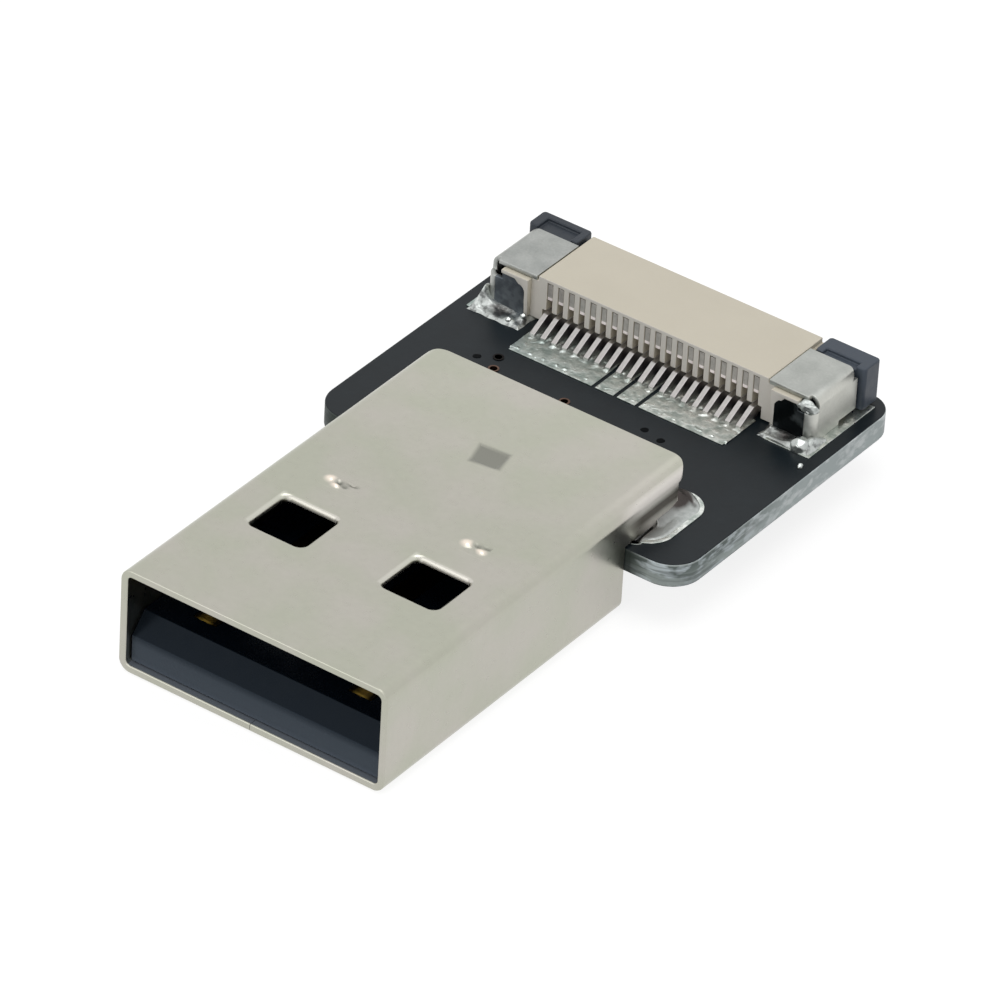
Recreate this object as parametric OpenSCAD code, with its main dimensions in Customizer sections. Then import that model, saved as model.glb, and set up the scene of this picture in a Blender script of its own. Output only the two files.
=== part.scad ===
// Mid-mount USB-A plug on a small board, with a 20-way flat-cable connector behind it.
// Millimetres. X runs across the plug, Y from its mouth back to the cable connector, Z up.
// The origin is at the middle of the mouth, on the underside of the plug's shell.

/* [Plug shell] */
// Width of the shell, outside
shell_w = 12.0; // [11.9:0.05:12.1]
// Height of the shell, outside
shell_h = 4.5; // [4.4:0.05:4.6]
// Length of the closed tube, from the mouth to the board
tube_len = 14.6; // [14.4:0.05:14.8]
// Length of the roof that runs on over the board
roof_over = 4.15; // [3.9:0.05:4.4]
// Thickness of the shell's sheet
sheet_t = 0.3; // [0.25:0.01:0.32]
// Outside radius of the shell's four bends
bend_r = 0.5; // [0.45:0.05:0.7]
// Radius of the roof's two rear corners, seen from above
roof_corner_r = 0.9; // [0.5:0.1:1.2]
// Width of each latch window
window_w = 2.5; // [2.4:0.05:2.6]
// Length of each latch window
window_len = 2.3; // [2.2:0.05:2.5]
// Distance between the two windows' centres
window_pitch = 6.0; // [5.9:0.05:6.1]
// Distance from the mouth to the windows' front edge
window_y = 5.16; // [5:0.02:5.3]
// Distance from the mouth to the two punch marks
dimple_y = 9.3; // [9:0.1:9.6]
// Width of the locking tab's opening
tab_w = 1.5; // [1.3:0.1:1.8]
// Length of the locking tab's opening
tab_len = 1.15; // [1:0.05:1.3]
// Depth that the locking tab is pressed down
tab_drop = 0.25; // [0.2:0.01:0.28]
// Width of the seam under the shell
seam_w = 0.02; // [0.02:0.01:0.05]

/* [Plug inside] */
// Height of the tongue's top face
tongue_top = 2.25; // [2.2:0.01:2.3]
// Distance from the mouth to the tongue's front face
tongue_y = 0.3; // [0.2:0.05:0.5]
// Height of the tongue's front face above the shell's underside
nose_z = 1.45; // [1.2:0.05:1.7]
// Length of the chamfer on the tongue's nose
nose_len = 0.7; // [0.5:0.05:0.9]
// Length of the thick block behind the tongue
block_len = 2.65; // [2.4:0.05:2.8]
// Width of a plug contact
usb_contact_w = 1.0; // [0.9:0.05:1.1]
// Distance from the mouth to the two outer contacts
outer_contact_y = 1.6; // [1.4:0.1:1.8]
// Distance from the mouth to the two inner contacts
inner_contact_y = 2.6; // [2.4:0.1:2.8]

/* [Board] */
// Width of the board
board_w = 16.9; // [16.6:0.1:17.2]
// Length of the board
board_len = 14.15; // [14:0.05:14.4]
// Height of the board's top face above the shell's underside
board_top = 2.8; // [2.7:0.05:2.9]
// Thickness of the board
board_t = 1.0; // [0.8:0.1:1.2]
// Corner radius of the board at the plug
board_front_r = 1.3; // [1:0.1:1.6]
// Corner radius of the board at the cable
board_rear_r = 1.1; // [0.9:0.1:1.4]

/* [Flat-cable connector] */
// Distance between neighbouring contacts
pitch = 0.5; // [0.5]
// Height of the connector's top above the board
connector_h = 2.0; // [1.9:0.05:2.2]
// Length of the housing, from its comb to its cable entry
housing_len = 3.56; // [3.5:0.02:3.6]
// Distance from the cable entry to the board's rear edge
entry_setback = 0.6; // [0.4:0.05:0.8]
// Width of the housing between its two end lugs
housing_w = 11.5; // [11.4:0.05:11.6]
// Width of the slider's arms, which the end lugs carry
arm_w = 1.35; // [1.25:0.05:1.4]
// Thickness of a stamped contact
contact_t = 0.22; // [0.2:0.01:0.24]
// Thickness of the hold-down nails' sheet
nail_t = 0.2; // [0.18:0.01:0.22]
// Travel of the cable lock
slider_travel = 1.1; // [0.9:0.1:1.2]

/* [Hidden] */
$fn = 48;
eps = 0.02;
sheet_gap = 0.05;
channel_gap = 0.03;
slide_gap = 0.1;
copper_t = 0.05;

nickel = [0.74, 0.73, 0.70];
gold = [0.83, 0.69, 0.38];
black_plastic = [0.10, 0.10, 0.11];
board_black = [0.13, 0.15, 0.16];
tin = [0.70, 0.72, 0.69];
ivory = [0.83, 0.80, 0.71];
slate = [0.26, 0.29, 0.32];
copper = [0.72, 0.50, 0.36];

// Shell
roof_len = tube_len + roof_over;
inside_w = shell_w - 2 * sheet_t;
inside_h = shell_h - 2 * sheet_t;
window_r = 0.3;
dimple_r = 0.43;
dimple_len = 1.3;
dimple_depth = 0.08;
tab_x = -0.7;
tab_run = 0.4;
tab_y = tube_len + 0.1 - tab_len;
seam_lock_y = 6.8;
seam_lock_w = [1.6, 2.2];
seam_lock_x = 0.6;

// Board
board_y = tube_len + sheet_gap;
board_end = board_y + board_len;
board_bottom = board_top - board_t;
pad_top = board_top + copper_t;
solder_top = pad_top + copper_t;
slot_x = (shell_w - sheet_t) / 2;
slot_y = [board_y + 0.8, board_y + 3.35];
slot_r = 0.4;
plating_t = 0.03;
ring_y = [slot_y[0] + 0.85, slot_y[1]];
ring_r = 1.08;
via_r = 0.15;
via_ring_r = 0.22;
wall_end = roof_len - roof_corner_r + 0.05;
leg_y = [ring_y[0] + 0.2, wall_end];
leg_foot = board_bottom - 0.5;

// Plug contacts
usb_contact_x = [-3.5, -1, 1, 3.5];
usb_contact_y = [outer_contact_y, inner_contact_y, inner_contact_y, outer_contact_y];
strip_t = 0.2;
strip_z = tongue_top - strip_t / 2;
tail_z = pad_top + strip_t / 2;
tip_run = 0.3;
tip_drop = 0.15;
climb_y = [board_y - 1.65, board_y - 0.75];
tail_end = board_y + 2.55;
usb_pad_margin = [0.1, 0.4];
usb_pad_y = board_y + 0.55;

// Cable connector: heights
ways = 20;
top_z = board_top + connector_h;
base_z = board_top + 0.07;
mouth_z = [board_top + 0.3, top_z - 0.45];
rib_foot = board_top + 0.6;
lug_top = board_top + 0.45;
slot_roof = 0.15;
bar_z = [board_top + 0.82, mouth_z[1] - 0.08];
slider_foot = pad_top + slide_gap;
arm_z = [lug_top + slide_gap, top_z - nail_t - slide_gap];
groove_z = [board_top + 0.75, top_z - 0.55];
flange_top = top_z - nail_t - 0.1;

// Cable connector: distances along the board
housing_end = board_end - entry_setback;
housing_y = housing_end - housing_len;
mouth_y = housing_y + 0.76;
side_end = housing_end - 1;
lug_y = housing_y + 0.36;
rib_step = 0.36;
slot_end = housing_end - 0.65;
nail_y = [housing_y - nail_t - 0.04, side_end + slide_gap];
ear_y = [side_end + 2 * slide_gap, housing_end + 0.25];
bar_y = housing_end + sheet_gap;
arm_y = lug_y + 0.25;
hook_y = [arm_y + 0.05, arm_y + 0.45];
groove_y = [hook_y[0] - slide_gap, hook_y[1] + slider_travel + sheet_gap];
strip_pad_y = [housing_y - 2.29, housing_y - 0.86, housing_y - 0.14];
toe_y = housing_y - 1.04;
vias = [[-4.59, housing_y - 3.71], [-1.27, housing_y - 3.76], [-4.9, housing_y - 2.97]];

// Cable connector: widths
first_x = -(ways - 1) / 2 * pitch;
slot_w = contact_t + 0.04;
mouth_w = ways * pitch + 0.6;
nose_w = mouth_w + 0.2;
groove_depth = 0.13;
arm_x = [housing_w / 2 + slide_gap, housing_w / 2 + slide_gap + arm_w];
nail_in = nose_w / 2 - sheet_gap;
nail_out = arm_x[1] + 0.13 + nail_t;
ear_x = [nose_w / 2 + slide_gap, nail_out + 0.25];
nail_pad_x = [housing_w / 2 + 0.15, nail_out + 0.37];
nail_pad_y = [nail_y[0] - 0.7, housing_end - slide_gap];

// Pads under the cable connector's contacts: first and last contact of each strip
pad_strips = [[0, 7], [8, 9], [10, 11], [12, 19]];
strip_gap = 0.16;
finger_w = 0.3;

function ffc_name(i) = str("ffc_contact_", i < 9 ? "0" : "", i + 1);
function usb_name(i) = str("usb_contact_", i + 1);
function usb_pad_name(i) = str("usb_pad_", i + 1);
function strip_pad_name(i) = str("ffc_pad_strip_", i + 1);

// ---- Shared shapes ----

module box(lo, hi) {
    translate(lo) cube(hi - lo);
}

module rect(lo, hi) {
    translate(lo) square(hi - lo);
}

module along_x(x0, len) {
    translate([x0, 0, 0]) rotate([90, 0, 90]) linear_extrude(len) children();
}

module along_y(y0, len) {
    translate([0, y0 + len, 0]) rotate([90, 0, 0]) linear_extrude(len) children();
}

module along_z(z0, len) {
    translate([0, 0, z0]) linear_extrude(len) children();
}

module both_sides() {
    children();
    mirror([1, 0, 0]) children();
}

module on_side(side) {
    mirror([side == "left" ? 1 : 0, 0, 0]) children();
}

// Rectangle with four round corners
module rounded_rect(lo, hi, r) {
    rect(lo + [r, 0], hi - [r, 0]);
    rect(lo + [0, r], hi - [0, r]);
    for (x = [lo[0] + r, hi[0] - r], y = [lo[1] + r, hi[1] - r]) translate([x, y]) circle(r);
}

// Slot outline with round ends at y[0] and y[1]
module stadium(x, y, r) {
    rect([x - r, y[0]], [x + r, y[1]]);
    for (end = y) translate([x, end]) circle(r);
}

// Quarter ring of sheet round a bend's centre, towards +X and +Y or -Y
module bend(centre, r, t, up) {
    reach = r + eps;
    translate(centre) intersection() {
        difference() {
            circle(r);
            circle(r - t);
        }
        rect([-eps, up ? -eps : -reach], [reach, up ? reach : eps]);
    }
}

// Outline of a bent strip of thickness t along the open line p
function unit(v) = v / norm(v);
function left_of(v) = [-v[1], v[0]];
function heading(p, i) = unit(p[i + 1] - p[i]);
function mitre(a, b) = let(n = unit(left_of(a) + left_of(b))) n / (n * left_of(a));
function side_dir(p, i) =
    i == 0 ? left_of(heading(p, 0)) :
    i == len(p) - 1 ? left_of(heading(p, i - 1)) :
    mitre(heading(p, i - 1), heading(p, i));
function ribbon(p, t) = concat(
    [for (i = [0:len(p) - 1]) p[i] + side_dir(p, i) * t / 2],
    [for (i = [len(p) - 1:-1:0]) p[i] - side_dir(p, i) * t / 2]
);

// ---- Plug ----

module shell_section() {
    difference() {
        rounded_rect([-shell_w / 2, 0], [shell_w / 2, shell_h], bend_r);
        rounded_rect([-inside_w / 2, sheet_t], [inside_w / 2, sheet_t + inside_h], bend_r - sheet_t);
    }
}

module latch_windows() {
    for (x = [-window_pitch / 2, window_pitch / 2])
        along_z(-sheet_t, shell_h + 2 * sheet_t)
            rounded_rect([x - window_w / 2, window_y], [x + window_w / 2, window_y + window_len], window_r);
}

module punch_marks() {
    for (x = [-window_pitch / 2, window_pitch / 2])
        translate([x - dimple_len / 2, dimple_y, shell_h + dimple_r - dimple_depth])
            rotate([0, 90, 0]) cylinder(r = dimple_r, h = dimple_len);
}

// The rolled sheet meets itself along the middle of the floor, in a dovetail
module floor_seam() {
    neck = seam_lock_w[0] / 2;
    head = seam_lock_w[1] / 2;
    path = [
        [0, -sheet_t],
        [0, seam_lock_y - neck],
        [seam_lock_x, seam_lock_y - head],
        [seam_lock_x, seam_lock_y + head],
        [0, seam_lock_y + neck],
        [0, tube_len + sheet_t]
    ];
    along_z(-sheet_t, 3 * sheet_t) polygon(ribbon(path, seam_w));
}

// Tab sheared on three sides and pressed down into the insulator
module locking_tab() {
    mid = shell_h - sheet_t / 2;
    path = [
        [tab_x - 2 * eps, mid],
        [tab_x, mid],
        [tab_x + tab_run, mid - tab_drop],
        [tab_x + tab_w - sheet_gap, mid - tab_drop]
    ];
    along_y(tab_y + eps, tab_len - 2 * eps) polygon(ribbon(path, sheet_t));
}

module tab_opening() {
    box([tab_x, tab_y, shell_h - 2 * sheet_t], [tab_x + tab_w, tab_y + tab_len, shell_h + sheet_t]);
}

module roof_corner_cut() {
    corner = [shell_w / 2 - roof_corner_r, roof_len - roof_corner_r];
    along_z(solder_top, shell_h) difference() {
        rect(corner, [shell_w, roof_len + sheet_t]);
        translate(corner) circle(roof_corner_r);
    }
}

module leg(foot, top) {
    box([inside_w / 2, leg_y[0], foot], [shell_w / 2, leg_y[1], top]);
}

module usb_shell() {
    color(nickel) {
        difference() {
            along_y(0, roof_len) shell_section();
            box([-shell_w, tube_len, -sheet_t], [shell_w, roof_len + sheet_t, solder_top]);
            tab_opening();
            latch_windows();
            punch_marks();
            floor_seam();
            both_sides() {
                roof_corner_cut();
                // Square rear end of the wall, under the roof's round corner
                box([inside_w / 2 - eps, wall_end, solder_top - eps],
                    [shell_w, roof_len + eps, shell_h - bend_r]);
            }
        }
        locking_tab();
        both_sides() leg(leg_foot, solder_top + eps);
    }
}

function contact_path(y0) = [
    [y0, strip_z - tip_drop],
    [y0 + tip_run, strip_z],
    [climb_y[0], strip_z],
    [climb_y[1], tail_z],
    [tail_end, tail_z]
];

// The strip lies flush in the tongue, climbs inside the block and leaves as a flat tail
module usb_contact(i) {
    color(gold)
        along_x(usb_contact_x[i] - usb_contact_w / 2, usb_contact_w)
            polygon(ribbon(contact_path(usb_contact_y[i]), strip_t));
}

module contact_channel(i) {
    along_x(usb_contact_x[i] - usb_contact_w / 2 - channel_gap, usb_contact_w + 2 * channel_gap)
        polygon(ribbon(contact_path(usb_contact_y[i] - channel_gap), strip_t + 2 * channel_gap));
}

module usb_insulator() {
    half = inside_w / 2 - sheet_gap;
    low = sheet_t + sheet_gap;
    high = sheet_t + inside_h - sheet_gap;
    rear = tube_len - sheet_gap;
    block_y = rear - block_len;
    tab_floor = shell_h - sheet_t - tab_drop;
    color(black_plastic)
        difference() {
            along_x(-half, 2 * half) polygon([
                [tongue_y, low],
                [tongue_y, nose_z],
                [tongue_y + nose_len, tongue_top],
                [block_y, tongue_top],
                [block_y, high],
                [rear, high],
                [rear, low]
            ]);
            for (i = [0:3]) contact_channel(i);
            // Pocket that the shell's tab locks into
            box([tab_x - sheet_gap, tab_y - sheet_gap, tab_floor - sheet_gap],
                [tab_x + tab_w + sheet_gap, rear + sheet_gap, shell_h]);
        }
}

// ---- Board ----

module board_outline() {
    half = board_w / 2;
    r1 = board_front_r;
    r2 = board_rear_r;
    rect([-half, board_y + r1], [half, board_end - r2]);
    rect([-half + r1, board_y], [half - r1, board_y + r1]);
    rect([-half + r2, board_end - r2], [half - r2, board_end]);
    for (s = [-1, 1]) {
        translate([s * (half - r1), board_y + r1]) circle(r1);
        translate([s * (half - r2), board_end - r2]) circle(r2);
    }
}

module pcb() {
    color(board_black)
        along_z(board_bottom, board_t) difference() {
            board_outline();
            for (s = [-1, 1]) stadium(s * slot_x, slot_y, slot_r + plating_t);
            for (v = vias) translate(v) circle(via_r + plating_t);
        }
}

// Copper lining of a leg's slot, with a wide ring on each face of the board
module slot_plating(side) {
    color(tin)
        on_side(side) difference() {
            union() {
                along_z(board_bottom, board_t) stadium(slot_x, slot_y, slot_r + plating_t);
                for (z = [board_top, board_bottom - copper_t])
                    along_z(z, copper_t) stadium(slot_x, ring_y, ring_r);
            }
            along_z(board_bottom - board_t, 3 * board_t) stadium(slot_x, slot_y, slot_r);
        }
}

// Solder round a leg: it fills the slot's rear half and lies as a film on the ring
module leg_solder(side) {
    fill_y = leg_y[0] - slide_gap;
    fill_foot = board_bottom - copper_t;
    color(tin)
        on_side(side) difference() {
            union() {
                along_z(fill_foot, solder_top - fill_foot) intersection() {
                    stadium(slot_x, slot_y, slot_r);
                    rect([0, fill_y], [shell_w, board_end]);
                }
                along_z(pad_top, copper_t) difference() {
                    stadium(slot_x, ring_y, ring_r);
                    stadium(slot_x, slot_y, slot_r);
                }
            }
            leg(leg_foot - board_t, shell_h);
        }
}

module via_barrels() {
    color(copper)
        for (v = vias) translate(v) difference() {
            union() {
                along_z(board_bottom, board_t) circle(via_r + plating_t);
                along_z(board_top, plating_t) circle(via_ring_r);
            }
            along_z(board_bottom - board_t, 3 * board_t) circle(via_r);
        }
}

module usb_pad(i) {
    half = usb_contact_w / 2 + usb_pad_margin[0];
    x = usb_contact_x[i];
    color(tin)
        box([x - half, usb_pad_y, board_top], [x + half, tail_end + usb_pad_margin[1], pad_top]);
}

// Tinned strip that joins neighbouring contacts, with one finger under each tail
module ffc_pad_strip(i) {
    first = pad_strips[i][0];
    last = pad_strips[i][1];
    reach = (pitch - strip_gap) / 2;
    color(tin)
        along_z(board_top, copper_t) {
            rect([contact_x(first) - reach, strip_pad_y[0]], [contact_x(last) + reach, strip_pad_y[1]]);
            for (k = [first:last])
                rect([contact_x(k) - finger_w / 2, strip_pad_y[1] - eps],
                     [contact_x(k) + finger_w / 2, strip_pad_y[2]]);
        }
}

// ---- Cable connector ----

function contact_x(i) = first_x + i * pitch;

// Flat stamped fork: soldered tail, spine in the housing's rear slot, and two arms over the cable
module ffc_contact(i) {
    upper_z = top_z - slot_roof - sheet_gap;
    upper_t = 0.17;
    lower_z = board_top + 0.18;
    lower_t = 0.14;
    spine_y = [housing_y + 0.03, housing_y + 0.41, mouth_y - sheet_gap];
    hook_z = top_z - 0.9;
    bump_z = board_top + 0.5;
    tip_y = housing_end - 0.75;
    bump_y = tip_y - 0.35;
    knee_y = housing_y - 0.14;
    color(nickel)
        along_x(contact_x(i) - contact_t / 2, contact_t) polygon([
            [toe_y, pad_top], [toe_y, pad_top + 0.1],
            [toe_y + 0.85, rib_foot], [spine_y[1], rib_foot],
            [spine_y[1], hook_z], [spine_y[0], hook_z],
            [spine_y[0], upper_z], [tip_y - 0.15, upper_z],
            [tip_y - 0.15, upper_z - upper_t], [spine_y[2], upper_z - upper_t],
            [spine_y[2], lower_z + lower_t + 0.03], [bump_y - 0.2, lower_z + lower_t],
            [bump_y, bump_z], [bump_y + 0.2, bump_z],
            [tip_y, lower_z + lower_t], [tip_y, lower_z],
            [knee_y + 0.4, lower_z], [knee_y, pad_top]
        ]);
}

module contact_slots() {
    for (i = [0:ways - 1])
        box([contact_x(i) - slot_w / 2, housing_y - sheet_gap, base_z - sheet_gap],
            [contact_x(i) + slot_w / 2, slot_end, top_z - slot_roof]);
}

module ffc_housing() {
    half = housing_w / 2;
    comb = mouth_w / 2 - pitch / 2;
    color(ivory)
        difference() {
            union() {
                box([-half, housing_y, base_z], [half, side_end, top_z]);
                box([-nose_w / 2, mouth_y, base_z], [nose_w / 2, housing_end, top_z]);
                box([-arm_x[1], lug_y, base_z], [arm_x[1], side_end, lug_top]);
            }
            // Cable entry
            box([-mouth_w / 2, mouth_y, mouth_z[0]], [mouth_w / 2, side_end + eps, mouth_z[1]]);
            box([-half, side_end, mouth_z[0]], [half, housing_end + eps, mouth_z[1]]);
            contact_slots();
            // Step under the comb, above the tails
            box([-comb, housing_y - eps, base_z - eps], [comb, housing_y + rib_step, rib_foot]);
            both_sides() {
                // Seat of the nail's top plate
                box([nail_in - sheet_gap, housing_y - eps, top_z - nail_t],
                    [half + eps, housing_end + eps, top_z + eps]);
                // Groove that stops the slider's hook
                box([half - groove_depth, groove_y[0], groove_z[0]], [half + eps, groove_y[1], groove_z[1]]);
            }
        }
}

// Folded plate over the slider's arm: roof, outer wall, and a rear flange bent round the corner
// that stands one sheet proud of the roof
module nail(side) {
    r = 2 * nail_t;
    bend_x = nail_out - r;
    bend_y = nail_y[0] + r;
    wall_foot = pad_top + 0.2;
    foot_y = side_end - 1;
    relief = [bend_x - 0.32, top_z - 0.65];
    flange_x = housing_w / 2;
    chamfer = [0.4, 0.5];
    color(tin)
        on_side(side) {
            // Roof
            along_z(top_z - nail_t, nail_t) rect([nail_in, nail_y[0] + nail_t], [bend_x, nail_y[1]]);
            // Bend between roof and wall, and the wall itself, with a round front corner
            difference() {
                along_y(bend_y, nail_y[1] - bend_y) {
                    bend([bend_x, top_z - r], r, nail_t, true);
                    rect([nail_out - nail_t, wall_foot], [nail_out, top_z - r]);
                }
                along_z(top_z - r, 2 * r) difference() {
                    rect([bend_x + eps, nail_y[1] - r], [nail_out + eps, nail_y[1] + eps]);
                    translate([bend_x, nail_y[1] - r]) circle(r);
                }
            }
            // Foot of the wall, down on its pad
            box([nail_out - nail_t, bend_y, pad_top], [nail_out, foot_y, wall_foot + eps]);
            // Upright bend between wall and rear flange
            along_z(pad_top, relief[1] - pad_top) bend([bend_x, bend_y], r, nail_t, false);
            // Rear flange
            along_y(nail_y[0], nail_t) polygon([
                [bend_x, pad_top], [flange_x, pad_top],
                [flange_x, flange_top - chamfer[1]], [flange_x + chamfer[0], flange_top],
                [relief[0], flange_top], relief,
                [bend_x, relief[1]]
            ]);
        }
}

module nail_pad(side) {
    color(tin)
        on_side(side)
            box([nail_pad_x[0], nail_pad_y[0], board_top], [nail_pad_x[1], nail_pad_y[1], pad_top]);
}

module nail_solder(side) {
    fillet_h = 0.35;
    inset = [0.05, 0.2];
    color(tin)
        on_side(side)
            along_x(nail_pad_x[0] + inset[0], nail_pad_x[1] - nail_pad_x[0] - inset[0] - inset[1])
                polygon([
                    [nail_pad_y[0] + inset[0], pad_top],
                    [nail_y[0], pad_top + fillet_h],
                    [nail_y[0], pad_top]
                ]);
}

// Cable lock: a tongue that wedges the cable, with an ear, an arm and a hook at each end
module slider() {
    tongue = [mouth_w / 2 - 0.15, mouth_y + 0.2];
    ear_r = 0.15;
    pocket_x = [ear_x[0] + 0.33, ear_x[1] - 0.43];
    pocket_end = [ear_y[1] - 0.33, ear_y[0] + 0.32];
    pocket_depth = 0.15;
    hook_x = housing_w / 2 - groove_depth + sheet_gap;
    color(slate)
        difference() {
            union() {
                box([-tongue[0], tongue[1], bar_z[0]], [tongue[0], ear_y[1], bar_z[1]]);
                box([-ear_x[1] + ear_r, bar_y, bar_z[0]], [ear_x[1] - ear_r, ear_y[1], bar_z[1]]);
                both_sides() {
                    along_z(slider_foot, top_z - slider_foot) rounded_rect(
                        [ear_x[0], ear_y[0]], [ear_x[1], ear_y[1]], ear_r);
                    box([arm_x[0], arm_y, arm_z[0]], [arm_x[1], ear_y[0] + 2 * ear_r, arm_z[1]]);
                    box([hook_x, hook_y[0], groove_z[0] + sheet_gap],
                        [arm_x[0] + eps, hook_y[1], groove_z[1] - sheet_gap]);
                }
            }
            // The left ear's pocket is the longer one
            for (i = [0:1])
                on_side(i == 0 ? "left" : "right")
                    box([pocket_x[0], ear_y[0] - eps, top_z - pocket_depth],
                        [pocket_x[1], pocket_end[i], top_z + eps]);
        }
}

// ---- Nodes ----

pcb();
usb_shell();
usb_insulator();
for (i = [0:3]) usb_contact(i);
for (i = [0:3]) usb_pad(i);
slot_plating("left");  // slot_plating_left
slot_plating("right");  // slot_plating_right
leg_solder("left");  // leg_solder_left
leg_solder("right");  // leg_solder_right
via_barrels();
ffc_housing();
for (i = [0:ways - 1]) ffc_contact(i);
for (i = [0:3]) ffc_pad_strip(i);
nail("left");  // nail_left
nail("right");  // nail_right
nail_pad("left");  // nail_pad_left
nail_pad("right");  // nail_pad_right
nail_solder("left");  // nail_solder_left
nail_solder("right");  // nail_solder_right
slider();
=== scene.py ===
"""Looks of a mid-mount USB-A plug on a small board, with a 20-way flat-cable connector.

Blender works in metres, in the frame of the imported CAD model. Lengths here are written in
millimetres and turned into metres by mm() or MM, unless a comment says otherwise.
"""

import math

import bmesh
import bpy
from mathutils import Matrix, Quaternion, Vector, noise


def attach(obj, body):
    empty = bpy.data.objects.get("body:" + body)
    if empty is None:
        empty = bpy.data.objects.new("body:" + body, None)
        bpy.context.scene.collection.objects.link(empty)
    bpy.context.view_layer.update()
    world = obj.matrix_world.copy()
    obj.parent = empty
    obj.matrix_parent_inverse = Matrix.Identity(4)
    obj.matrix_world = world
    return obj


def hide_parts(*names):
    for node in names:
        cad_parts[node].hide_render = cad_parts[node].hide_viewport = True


MM = 0.001

# Camera: where it stands, what it looks at, its tilt to one side (degrees) and its lens
CAMERA_AT = (153.852, -211.207, 194.207)
CAMERA_AIM = (0.806, 13.940, 3.000)
CAMERA_ROLL = 3.370
CAMERA_LENS = 325.683

# Lamps, in metres and watts: their distance, and the direction, size and power of each
LAMP_DISTANCE = 0.6
LAMPS = {
    "top_softbox": ((0.12, -0.05, 1.0), 0.42, 0.92),
    "front_softbox": ((-0.3, -0.95, 0.3), 0.6, 1.1),
}

# Floor: half its width and its drop below the object, its grey and its own glow
FLOOR_HALF = 3000
FLOOR_DROP = 0.1
FLOOR_GREY = 0.28
FLOOR_GLOW = 0.82

# Strength of the room's light on the object, and of the background that is seen
ROOM_LIGHT = 0.62
BACKGROUND = 1.0

# Tops of the shell, the board and the strips of pads, which patches lie on
SHELL_TOP = 4.5
BOARD_TOP = 2.8
STRIP_TOP = 2.84

# Height of a burr or depth of a dent at which the shell is painted all bright as a highlight or
# all dark as shade
FULL_SHINE_SHADE = 1 / 16

# The cable connector's contacts: the pitch, and where the outermost one lies along X
CONTACT_PITCH = 0.5
OUTER_CONTACT = 4.75

# Direction that solder's flat spots face, between the camera and the top lamp
FACET = (0.311, -0.407, 0.859)

# CAD meshes: vertices nearer than WELD are one. Edges flatter than FLAT_ANGLE are within a
# face, and those steeper than SHARP_ANGLE are rounded (degrees).
WELD = 0.0005
FLAT_ANGLE = 1
SHARP_ANGLE = 40


def mm(*values):
    return Vector(values) * MM


# ---- Node trees ----


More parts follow.
